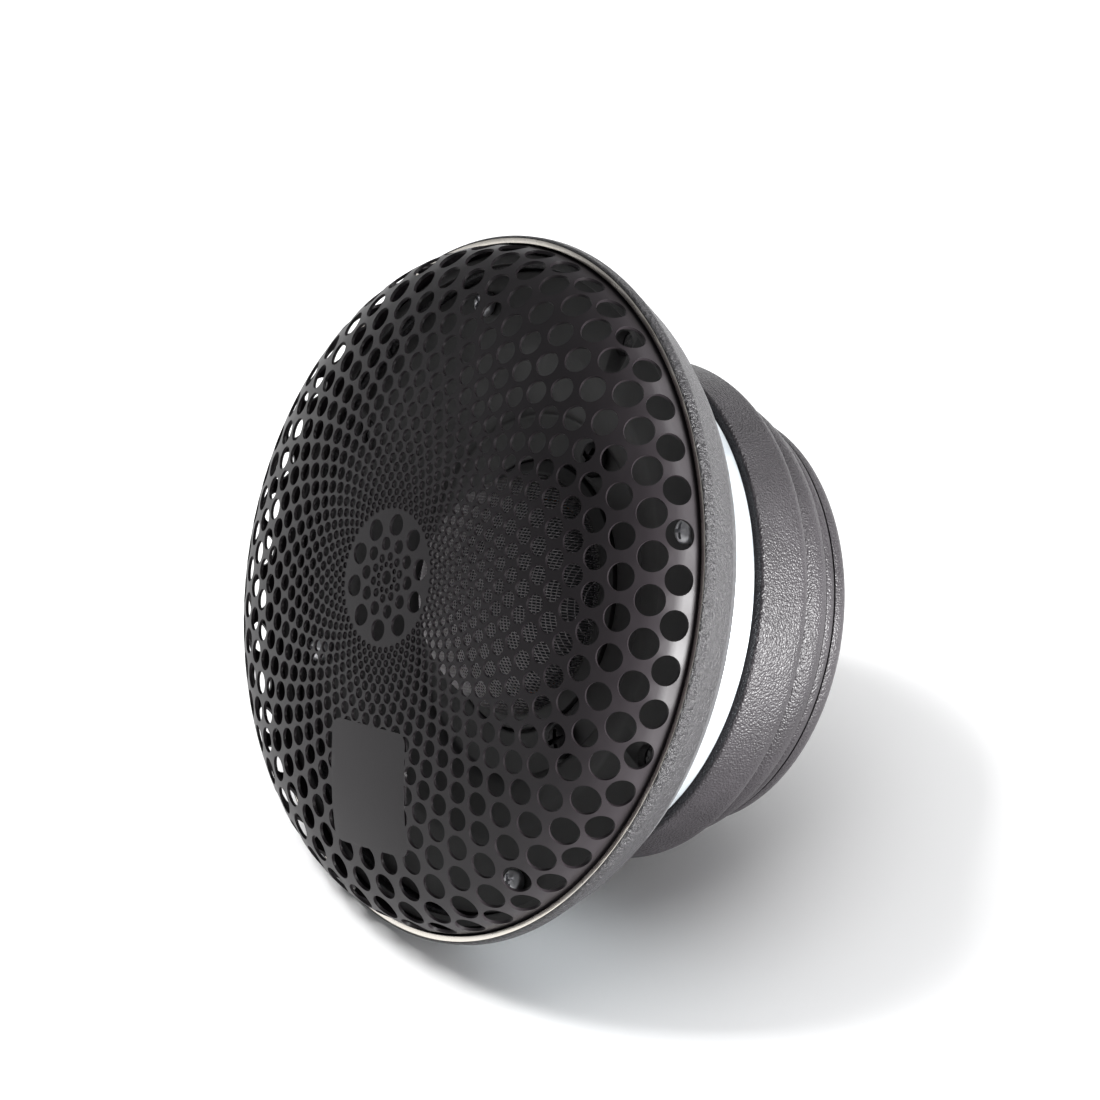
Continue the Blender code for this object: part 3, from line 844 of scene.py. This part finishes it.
def make_floor():
    mesh = bpy.data.meshes.new("floor")
    size = 3.0
    corners = [(-size, -size, 0), (size, -size, 0), (size, size, 0), (-size, size, 0)]
    mesh.from_pydata(corners, [], [(0, 1, 2, 3)])
    floor = bpy.data.objects.new("floor", mesh)
    bpy.context.scene.collection.objects.link(floor)
    mesh.materials.append(shader_material("floor_white", (0.9, 0.9, 0.9), 0.0, 0.6)[0])
    floor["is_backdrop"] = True
    return floor


def area_light(name, at, target, size, power, colour=(1, 1, 1)):
    light = bpy.data.lights.new(name, "AREA")
    light.shape = "RECTANGLE"
    light.size, light.size_y = size
    light.energy = power
    light.color = colour
    lamp = bpy.data.objects.new(name, light)
    lamp.location = at
    lamp.rotation_mode = "QUATERNION"
    lamp.rotation_quaternion = (Vector(target) - Vector(at)).to_track_quat("-Z", "Y")
    bpy.context.scene.collection.objects.link(lamp)
    return lamp


def light_only(lamp, objects):
    """Limits a lamp to some objects, as a flag does in a studio. Everything still casts its shadow."""
    receivers = bpy.data.collections.new(f"{lamp.name}_receivers")
    for each in objects:
        receivers.objects.link(each)
    lamp.light_linking.receiver_collection = receivers


def make_light(floor):
    world = bpy.data.worlds.new("studio")
    world.use_nodes = True
    background = world.node_tree.nodes["Background"]
    background.inputs["Color"].default_value = (0.97, 0.98, 1, 1)
    background.inputs["Strength"].default_value = 0.36
    bpy.context.scene.world = world
    middle = Vector((0, 0, 0.04))
    key = area_light("key_left", middle + Vector((-0.24, -0.44, 0.865)) * 1.2, middle, (0.32, 0.32), 14)
    light_only(key, [floor])
    overhead = area_light("overhead", (0, 0, 1.3), middle, (1.2, 1.2), 14)
    light_only(overhead, [floor])
    right = area_light("softbox_right", middle + Vector((0.86, 0.49, 0.16)) * 0.7, middle, (0.36, 0.3), 26)
    light_only(right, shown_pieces())
    back = area_light("softbox_back", middle + Vector((0.08, 0.7, 0.7)) * 0.8, middle, (0.5, 0.3), 5)
    light_only(back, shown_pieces())


def make_camera():
    """The photograph's long lens, from the tweeter's right and above."""
    centre = TO_WORLD @ Vector((0, 0, 0))
    azimuth, elevation = camera_angles(math.radians(VIEW_ANGLE), math.radians(VIEW_ROLL))
    back = Vector((
        math.sin(azimuth) * math.cos(elevation), -math.cos(azimuth) * math.cos(elevation),
        math.sin(elevation)))
    data = bpy.data.cameras.new("camera")
    data.sensor_width = SENSOR
    data.lens = SENSOR * CAMERA_DISTANCE / VIEW_WIDTH
    data.clip_end = 20
    camera = bpy.data.objects.new("camera", data)
    camera.rotation_mode = "QUATERNION"
    camera.rotation_quaternion = (-back).to_track_quat("-Z", "Y")
    right = camera.rotation_quaternion @ Vector((1, 0, 0))
    up = camera.rotation_quaternion @ Vector((0, 1, 0))
    aside = right * AIM_RIGHT + up * AIM_ABOVE
    camera.location = centre + (back * CAMERA_DISTANCE + aside) * MM
    bpy.context.scene.collection.objects.link(camera)
    bpy.context.scene.camera = camera


def camera_angles(view_angle, roll):
    """Azimuth and elevation that look view_angle off the tweeter's axis and lean it over by roll."""
    along = math.cos(view_angle)
    lean = math.sin(view_angle) * math.sin(roll)
    tilt_sine, tilt_cosine = FRONT.z, -FRONT.y
    low, high = 0.0, math.pi / 2
    for _ in range(50):
        elevation = (low + high) / 2
        if (tilt_sine - along * math.sin(elevation)) / math.cos(elevation) > lean:
            low = elevation
        else:
            high = elevation
    azimuth = math.acos((along - tilt_sine * math.sin(elevation)) / (tilt_cosine * math.cos(elevation)))
    return azimuth, elevation


make_grille()
make_front()
make_guard()
make_dome()
make_can()
make_cover()
paint_cad_nodes()
make_light(make_floor())
make_camera()
bpy.context.scene.view_settings.view_transform = "Standard"
